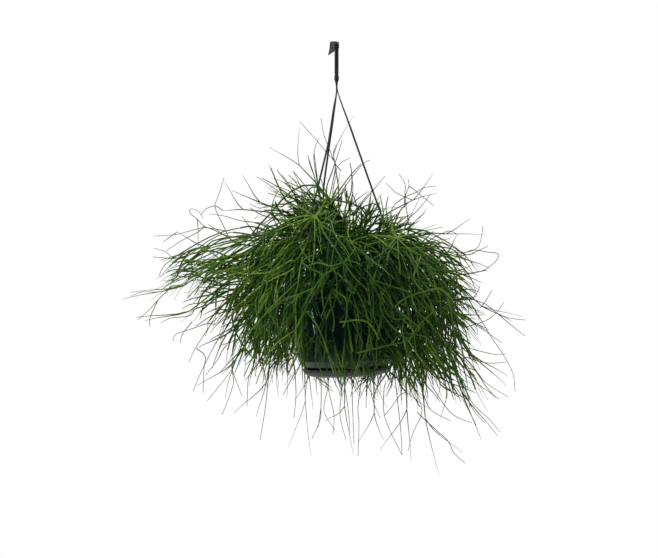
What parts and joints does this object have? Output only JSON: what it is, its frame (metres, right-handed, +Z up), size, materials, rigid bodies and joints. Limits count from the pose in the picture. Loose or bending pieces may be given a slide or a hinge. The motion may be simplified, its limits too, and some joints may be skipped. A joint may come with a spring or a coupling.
{
  "type": "mistletoe cactus in hanging pot",
  "caption": "Bushy trailing mistletoe cactus with thin forking stems in a dark round hanging pot with a drip saucer, three strands and a flat hook.",
  "frame": {"origin": "the flat seat under the hook's arch, where it rests on its bar; the part hangs below it", "axes": "+Z up, +X to the right as seen from the front, +Y away from the viewer"},
  "size_m": [0.4465, 0.3287, 0.4848],
  "materials": {
    "hanger": "satin black",
    "pot": "dark slate, soft gloss",
    "saucer": "dark grey, satin",
    "soil": "rough, crumbly",
    "stems": "waxy green skin, pale at the tips"
  },
  "bodies": {
    "root": {"hook": "hanger", "strand_left": "hanger", "strand_back": "hanger", "strand_right": "hanger", "pot": "pot", "saucer": "saucer", "soil": "soil", "spray_01": "stems", "spray_02": "stems", "spray_03": "stems", "spray_04": "stems", "spray_05": "stems", "spray_06": "stems", "spray_07": "stems", "spray_08": "stems", "spray_09": "stems", "spray_10": "stems", "spray_11": "stems", "spray_12": "stems", "spray_13": "stems", "spray_14": "stems", "spray_15": "stems", "spray_16": "stems", "spray_17": "stems", "spray_18": "stems", "spray_19": "stems", "spray_20": "stems", "spray_21": "stems", "spray_22": "stems", "spray_23": "stems", "spray_24": "stems", "spray_25": "stems", "spray_26": "stems", "spray_27": "stems", "spray_28": "stems", "spray_29": "stems", "spray_30": "stems"}
  },
  "joints": []
}
